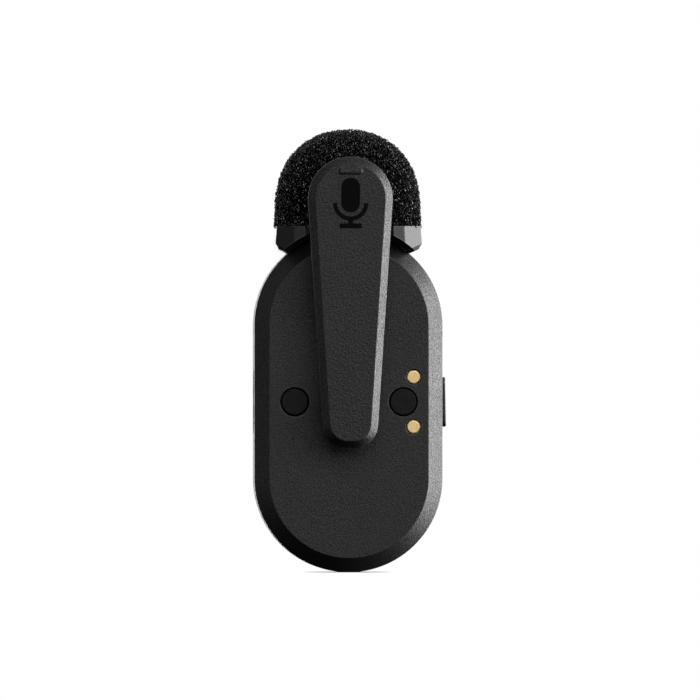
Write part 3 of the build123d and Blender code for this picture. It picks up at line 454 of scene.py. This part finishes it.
# ---------------------------------------------------------------- foam windscreen

# The dome: an oblong in plan with full corners, straight up to its shoulder, then domed.
FOAM_BASE = 25.35
FOAM_TOP = 39.4
FOAM_SHOULDER = 26.0
FOAM_HALF_WIDTH = 10.5
FOAM_HALF_DEPTH = 7.5
FOAM_DOME_POWER = 2.8
FOAM_PLAN_POWER = 3.4
MIDDLE_Y = 6.0

# Its foot swells a little over the collar, and the lower rim is cut unevenly.
FOOT_SWELL = 0.5
FOOT_HEIGHT = 2.2
RIM_WANDER = 0.3
RIM_WAVES = (13, 22, 37, 53)

# Its open cells: how far apart the joints of their threads are, how deep the modelled layer goes,
# how far the skin strays out and in, and how many neighbours each joint is tied to.
CELL_PITCH = 0.26
STRUT_LAYER = 0.75
SKIN_OUT = 0.18
SKIN_IN = 0.1
LINKS_EACH = 3
LINK_REACH = 1.5 * CELL_PITCH
THIN_STRUT = 0.027
THICK_STRUT = 0.06
STRAND_COLOUR = (0.004, 0.004, 0.004)

# The solid core behind the cells, hollowed for the microphone head.
CORE_INSET = 0.6
CORE_ROUGHNESS = 0.12
CORE_COLUMNS = 160
CORE_RINGS = 60
HOLLOW_RADIUS = 5.75
HOLLOW_STRAIGHT = 2.5
HOLLOW_RINGS = (31.3, 29.0, 27.0, FOAM_BASE)


def foam_level(points):
    """1 on the dome's skin and less inside it, with the dome's swollen foot counted in."""
    x, y, z = points.T
    swell = FOOT_SWELL * np.clip(1 - (z - FOAM_BASE) / FOOT_HEIGHT, 0, 1) ** 2
    plan = np.abs(x / (FOAM_HALF_WIDTH + swell / 4)) ** FOAM_PLAN_POWER
    plan += np.abs((y - MIDDLE_Y) / (FOAM_HALF_DEPTH + swell)) ** FOAM_PLAN_POWER
    rise = np.clip((z - FOAM_SHOULDER) / (FOAM_TOP - FOAM_SHOULDER), 0, None)
    return plan ** (2 / FOAM_PLAN_POWER) + rise ** FOAM_DOME_POWER


def depth_in_foam(points):
    """How far below the dome's skin each point lies, nearly, in millimetres."""
    level = foam_level(points)
    step = 0.01
    slope = np.stack([foam_level(points + step * axis) - level for axis in np.eye(3)], axis=1) / step
    return (1 - level) / np.maximum(np.linalg.norm(slope, axis=1), 0.001)


def foam_joints(random):
    """The places where cell edges meet: a well shaken grid, kept in a layer under the skin."""
    reach = np.array((FOAM_HALF_WIDTH, FOAM_HALF_DEPTH, 0.0)) + FOOT_SWELL + CELL_PITCH
    low = np.array((0, MIDDLE_Y, FOAM_BASE)) - reach
    high = np.array((0, MIDDLE_Y, FOAM_TOP)) + reach
    axes = [np.arange(start, end, CELL_PITCH) for start, end in zip(low, high)]
    places = np.stack(np.meshgrid(*axes, indexing="ij"), axis=-1).reshape(-1, 3)
    places += random.uniform(-0.5, 0.5, places.shape) * CELL_PITCH
    depth = depth_in_foam(places)
    ragged = random.uniform(-SKIN_OUT, SKIN_IN, len(places))
    round_rim = np.arctan2(places[:, 1] - MIDDLE_Y, places[:, 0])
    rim = FOAM_BASE + ragged
    for waves, start in zip(RIM_WAVES, random.uniform(0, 2 * math.pi, len(RIM_WAVES))):
        rim += RIM_WANDER / 3 * np.sin(waves * round_rim + start)
    kept = (depth > ragged) & (depth < STRUT_LAYER) & (places[:, 2] > rim)
    return places[kept]


def nearest_links(joints, each, reach):
    """Pairs of joints: each one with its nearest few, if they are within reach."""
    tree = KDTree(len(joints))
    for index, place in enumerate(joints):
        tree.insert(place, index)
    tree.balance()
    pairs = set()
    for index, place in enumerate(joints):
        for _, other, gap in tree.find_n(place, each + 1):
            if other != index and gap < reach:
                pairs.add((min(index, other), max(index, other)))
    return np.array(sorted(pairs))


def foam_struts():
    """The open-cell outer layer, as a network of plastic threads."""
    random = np.random.default_rng(SEED)
    joints = foam_joints(random)
    links = nearest_links(joints, LINKS_EACH, LINK_REACH)
    radii = random.uniform(THIN_STRUT, THICK_STRUT, len(links))
    look = foam_strand("foam_strand", STRAND_COLOUR)
    in_front = joints[links[:, 0], 1] > MIDDLE_Y
    for name, chosen in (("foam_rear_cells", ~in_front), ("foam_front_cells", in_front)):
        add_piece(name, strut_mesh(name, joints, links[chosen], radii[chosen]), look, "windscreen")


def foam_ring(half_width, half_depth, height, turns):
    """One level of the foam's core: an oblong with full corners."""
    power = 2 / FOAM_PLAN_POWER
    wide = half_width * np.sign(np.cos(turns)) * np.abs(np.cos(turns)) ** power
    deep = half_depth * np.sign(np.sin(turns)) * np.abs(np.sin(turns)) ** power
    return np.stack((wide, MIDDLE_Y + deep, np.full(len(turns), height)), axis=1)


def hollow_ring(height, turns):
    """One level of the hollow round the microphone head: a slot with round ends."""
    wide = np.copysign(HOLLOW_STRAIGHT, np.cos(turns)) + HOLLOW_RADIUS * np.cos(turns)
    deep = HOLLOW_RADIUS * np.sin(turns)
    return np.stack((wide, MIDDLE_Y + deep, np.full(len(turns), height)), axis=1)


def rings_to_faces(rings, columns, first_middle, last_middle):
    """Faces between neighbouring rings of points, and a fan that closes the first and last ring."""
    sides = [(a, (a + 1) % columns) for a in range(columns)]
    last = (rings - 1) * columns
    faces = []
    for low in range(0, last, columns):
        high = low + columns
        faces += [(low + a, low + b, high + b, high + a) for a, b in sides]
    for a, b in sides:
        faces.append((b, a, first_middle))
        faces.append((last + a, last + b, last_middle))
    return faces


def foam_core(material):
    """The foam behind the open cells: a rough dark dome, hollow for the microphone head."""
    random = np.random.default_rng(SEED + 1)
    turns = np.arange(CORE_COLUMNS) * 2 * math.pi / CORE_COLUMNS
    half_width = FOAM_HALF_WIDTH - CORE_INSET
    half_depth = FOAM_HALF_DEPTH - CORE_INSET
    top = FOAM_TOP - CORE_INSET
    rings = [hollow_ring(height, turns) for height in HOLLOW_RINGS]
    for rise in np.sin(np.linspace(0, math.pi / 2, CORE_RINGS, endpoint=False)):
        height = FOAM_BASE + rise * (top - FOAM_BASE)
        domed = max(0.0, (height - FOAM_SHOULDER) / (top - FOAM_SHOULDER))
        shrink = math.sqrt(1 - domed ** FOAM_DOME_POWER)
        ring = foam_ring(half_width * shrink, half_depth * shrink, height, turns)
        shaken = random.uniform(-CORE_ROUGHNESS, CORE_ROUGHNESS, ring.shape)
        rings.append(ring + shaken * (1, 1, 0))
    ceiling_middle = (0, MIDDLE_Y, HOLLOW_RINGS[0])
    crown = (0, MIDDLE_Y, top)
    vertices = np.concatenate(rings + [[ceiling_middle, crown]])
    faces = rings_to_faces(len(rings), CORE_COLUMNS, len(vertices) - 2, len(vertices) - 1)
    mesh = bpy.data.meshes.new("foam_core")
    mesh.from_pydata((vertices * MM).tolist(), [], faces)
    piece = add_piece("foam_core", mesh, material, "windscreen")
    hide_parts("windscreen_foam")


# ---------------------------------------------------------------- clip spring

# The hinge pin's middle, the coil round it, and how far up each leg's points lie. One leg lies on
# the lever's side of the pin and the other on the bracket's side.
PIVOT = Vector((0.0, -3.2, 18.0))
WIRE_RADIUS = 0.22
COIL_RADIUS = 1.75
COIL_HALF_LENGTH = 0.9625
COIL_TURNS = 3.5
STEPS_PER_TURN = 32
LEVER_LEG = (6.0, 4.0, 2.0, 1.0)
BRACKET_LEG = (1.0, 2.0, 3.2)


def clip_spring(material):
    """Torsion spring round the hinge pin: one leg up under the lever, one on the bracket."""
    points = [PIVOT + Vector((-COIL_HALF_LENGTH, -COIL_RADIUS, height)) for height in LEVER_LEG]
    steps = int(COIL_TURNS * STEPS_PER_TURN)
    for step in range(steps + 1):
        turn = 2 * math.pi * COIL_TURNS * step / steps
        along = COIL_HALF_LENGTH * (2 * step / steps - 1)
        points.append(PIVOT + Vector((along, -COIL_RADIUS * math.cos(turn), -COIL_RADIUS * math.sin(turn))))
    points += [PIVOT + Vector((COIL_HALF_LENGTH, COIL_RADIUS, height)) for height in BRACKET_LEG]
    mesh = tube_mesh("spring_wire", points, WIRE_RADIUS)
    piece = add_piece("spring_wire", mesh, material)
    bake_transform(piece)
    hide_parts("clip_spring")


# ---------------------------------------------------------------- pictogram on the clip

# A microphone drawn as a pill in a cradle on a stem and foot, seen in X and Z on the clip's outer
# face. STEM_ANGLE is how far from straight down the cradle's edge meets the stem, in degrees. The
# inlay's two faces are measured from the thumb bar's crest, which is the clip's outermost point.
PILL_TOP = 31.0
PILL_BOTTOM = 28.7
PILL_RADIUS = 1.35
CRADLE_OUTER = 2.55
CRADLE_INNER = 1.95
STEM_HALF = 0.35
STEM_ANGLE = 8
STAND_FOOT_HALF = 1.6
STAND_FOOT_TOP = 25.75
STAND_FOOT_BOTTOM = 25.05
INLAY_OUTSIDE = 0.32
INLAY_INSIDE = 0.4


def arc(centre_z, radius, start, end, steps=24):
    """Points along an arc round a point on the clip's centre line, angles in degrees from +X."""
    angles = np.radians(np.linspace(start, end, steps))
    return [(radius * math.cos(a), centre_z + radius * math.sin(a)) for a in angles]


def pictogram():
    """A glossy inlay on the clip's thumb end: a plain microphone on a stand."""
    pill = arc(PILL_TOP, PILL_RADIUS, 0, 180) + arc(PILL_BOTTOM, PILL_RADIUS, 180, 360)
    stand = arc(PILL_BOTTOM, CRADLE_OUTER, 180, 270 - STEM_ANGLE)
    stand += [(-STEM_HALF, STAND_FOOT_TOP), (-STAND_FOOT_HALF, STAND_FOOT_TOP)]
    stand += [(-STAND_FOOT_HALF, STAND_FOOT_BOTTOM), (STAND_FOOT_HALF, STAND_FOOT_BOTTOM)]
    stand += [(STAND_FOOT_HALF, STAND_FOOT_TOP), (STEM_HALF, STAND_FOOT_TOP)]
    stand += arc(PILL_BOTTOM, CRADLE_OUTER, 270 + STEM_ANGLE, 360)
    stand += arc(PILL_BOTTOM, CRADLE_INNER, 360, 180)
    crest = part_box("clip_lever")[0].y / MM
    mesh = plate_mesh("clip_pictogram", (pill, stand), crest + INLAY_OUTSIDE, crest + INLAY_INSIDE)
    shiny = smooth_plastic("pictogram_gloss", (0.001, 0.001, 0.001), 0.3, 0.06)
    add_piece("clip_pictogram", mesh, shiny, "clip")


# ---------------------------------------------------------------- acoustic cloth

WEAVE_PITCH = 0.3
WEAVE_LIFT = 0.03
THREAD_RADIUS = 0.05


def acoustic_cloth(material):
    """Woven cloth under the grille: two sets of fine threads, each passing over and under the other."""
    low, high = (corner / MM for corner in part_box("acoustic_mesh"))
    middle, half = (low + high) / 2, (high - low) / 2
    columns = np.arange(-half.x, half.x, WEAVE_PITCH)
    rows = np.arange(-half.y, half.y, WEAVE_PITCH)
    joints, links = [], []
    for lift, step in ((WEAVE_LIFT, (1, 0)), (-WEAVE_LIFT, (0, 1))):
        index = {}
        for i, x in enumerate(columns):
            for j, y in enumerate(rows):
                end_x = max(0.0, abs(x) - (half.x - half.y))
                if math.hypot(end_x, y) < half.y - THREAD_RADIUS:
                    index[i, j] = len(joints)
                    joints.append((middle.x + x, middle.y + y, middle.z + lift * (-1) ** (i + j)))
        for (i, j), here in index.items():
            there = index.get((i + step[0], j + step[1]))
            if there is not None:
                links.append((here, there))
    radii = np.full(len(links), THREAD_RADIUS)
    mesh = strut_mesh("acoustic_cloth", np.array(joints), np.array(links), radii)
    piece = add_piece("acoustic_cloth", mesh, material, "case")
    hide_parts("acoustic_mesh")


# ---------------------------------------------------------------- stage

# A triangle of floor, in metres; one face has no diagonal for the camera's low view to pick out.
FLOOR_CORNERS = [(-8, -5), (8, -5), (0, 9)]
CONTACT_SHADE_REACH = 1.5 * MM
FLOOR_GRAIN = 0.5
DARK_PAPER = (0.05, 0.05, 0.05)
PALE_PAPER = (0.06, 0.06, 0.06)

# How bright the room looks to the object, along two directions: it rises from nothing to its peak
# between the first two numbers. It is pale behind the object and above, and dark in front of it.
ROOM_TOWARDS_FRONT_COVER = ("Y", 0.15, 0.6, 1.3)
ROOM_UPWARDS = ("Z", -0.5, 0.1, 1.0)


def floor_material():
    """White to the camera but for a soft shade where something touches; dull paper to light."""
    shader = Shader("floor_paper")
    shade = shader.add("ShaderNodeAmbientOcclusion", samples=8)
    shade.inputs["Distance"].default_value = CONTACT_SHADE_REACH
    seen = shader.add("ShaderNodeEmission")
    shader.link(shade.outputs["Color"], seen.inputs["Color"])
    path = shader.add("ShaderNodeLightPath")
    either = shader.add("ShaderNodeMixShader")
    grain = shader.noise(FLOOR_GRAIN, detail=3.0)
    shader.finish(shader.mix(grain, DARK_PAPER, PALE_PAPER), 0.9, shader.bump(grain, 0.02))
    shader.link(path.outputs["Is Camera Ray"], either.inputs["Fac"])
    shader.link(shader.surface.outputs["BSDF"], either.inputs[1])
    shader.link(seen.outputs["Emission"], either.inputs[2])
    shader.link(either.outputs["Shader"], shader.tree.nodes["Material Output"].inputs["Surface"])
    return shader.material


def white_stage():
    """A pale floor that the lower end touches, running out into a white backdrop."""
    mesh = bpy.data.meshes.new("floor")
    mesh.from_pydata([(x, y, cad_box[0].z) for x, y in FLOOR_CORNERS], [], [(0, 1, 2)])
    mesh.materials.append(floor_material())
    floor = bpy.data.objects.new("floor", mesh)
    bpy.context.scene.collection.objects.link(floor)
    floor.visible_shadow = False
    floor.visible_diffuse = False
    floor.visible_glossy = False


def surroundings():
    """A white backdrop for the camera; the object itself sees a dim room, paler behind it."""
    world = bpy.data.worlds.new("studio")
    bpy.context.scene.world = world
    world.use_nodes = True
    nodes = world.node_tree.nodes
    links = world.node_tree.links
    nodes.clear()
    direction = nodes.new("ShaderNodeTexCoord")
    parts = nodes.new("ShaderNodeSeparateXYZ")
    links.new(direction.outputs["Generated"], parts.inputs["Vector"])
    strength = nodes.new("ShaderNodeMath")
    strength.operation = "MULTIPLY"
    for socket, (axis, low, high, peak) in zip(strength.inputs, (ROOM_TOWARDS_FRONT_COVER, ROOM_UPWARDS)):
        rising = nodes.new("ShaderNodeMapRange")
        rising.interpolation_type = "SMOOTHSTEP"
        links.new(parts.outputs[axis], rising.inputs["Value"])
        for name, number in (("From Min", low), ("From Max", high), ("To Min", 0.0), ("To Max", peak)):
            rising.inputs[name].default_value = number
        links.new(rising.outputs["Result"], socket)
    room = nodes.new("ShaderNodeBackground")
    links.new(strength.outputs["Value"], room.inputs["Strength"])
    backdrop = nodes.new("ShaderNodeBackground")
    for background in (room, backdrop):
        background.inputs["Color"].default_value = (1, 1, 1, 1)
    path = nodes.new("ShaderNodeLightPath")
    either = nodes.new("ShaderNodeMixShader")
    output = nodes.new("ShaderNodeOutputWorld")
    links.new(path.outputs["Is Camera Ray"], either.inputs["Fac"])
    links.new(room.outputs["Background"], either.inputs[1])
    links.new(backdrop.outputs["Background"], either.inputs[2])
    links.new(either.outputs["Shader"], output.inputs["Surface"])


# ---------------------------------------------------------------- lights and camera

# The point that the lamps and the camera face.
AIM = Vector((0.14, 0.0, 7.5)) * MM

# Each softbox: its name, the direction it stands in, then its distance, width and height in metres,
# and its radiance. The front one stands high, so that the clip throws its shade down the case.
SOFTBOXES = [
    ("key_right", (1.0, 0.22, 0.03), 0.6, 0.62, 0.62, 10.0),
    ("front", (0.24, -1.0, 0.52), 1.2, 1.2, 0.95, 2.2),
    ("front_left", (-0.75, -0.8, 0.1), 1.0, 0.4, 0.7, 0.85),
    ("front_right", (0.8, -0.75, 0.15), 1.0, 0.35, 0.7, 2.0),
    ("top", (0.05, -0.2, 1.0), 0.9, 0.9, 0.9, 0.35),
    ("behind", (-0.1, 1.0, 0.0), 1.5, 0.5, 0.5, 4.0),
    ("left", (-1.0, -0.1, 0.0), 0.8, 0.5, 0.6, 0.12),
]

# The camera stands level and far back, a little to the left of the rear face's middle.
CAMERA_DISTANCE = 3.0
CAMERA_YAW = math.radians(2.0)
PICTURE_WIDTH = 101.15 * MM
SENSOR_WIDTH = 36.0


def softbox(name, direction, distance, width, height, radiance):
    """A rectangular lamp facing the object from one direction, with an even radiance."""
    lamp = bpy.data.lights.new(name, "AREA")
    lamp.shape = "RECTANGLE"
    lamp.size = width
    lamp.size_y = height
    lamp.energy = radiance * math.pi * width * height
    box = bpy.data.objects.new(name, lamp)
    bpy.context.scene.collection.objects.link(box)
    towards = Vector(direction).normalized()
    box.location = AIM + towards * distance
    box.rotation_euler = towards.to_track_quat("Z", "Y").to_euler()
    box.visible_camera = False


def camera():
    """A long lens, so that the far side hardly shrinks, framed on the whole object."""
    data = bpy.data.cameras.new("camera")
    data.sensor_width = SENSOR_WIDTH
    data.lens = SENSOR_WIDTH * CAMERA_DISTANCE / PICTURE_WIDTH
    data.clip_start = 0.05
    data.clip_end = 20.0
    eye = bpy.data.objects.new("camera", data)
    bpy.context.scene.collection.objects.link(eye)
    look = Vector((math.sin(CAMERA_YAW), math.cos(CAMERA_YAW), 0.0))
    eye.location = AIM - look * CAMERA_DISTANCE
    eye.rotation_euler = look.to_track_quat("-Z", "Y").to_euler()
    bpy.context.scene.camera = eye
    bpy.context.scene.view_settings.view_transform = "Standard"


# ---------------------------------------------------------------- the scene

materials = dress_cad()
foam_struts()
foam_core(materials["foam"])
clip_spring(materials["spring_steel"])
pictogram()
acoustic_cloth(materials["mesh_cloth"])

white_stage()
surroundings()
for box in SOFTBOXES:
    softbox(*box)
camera()
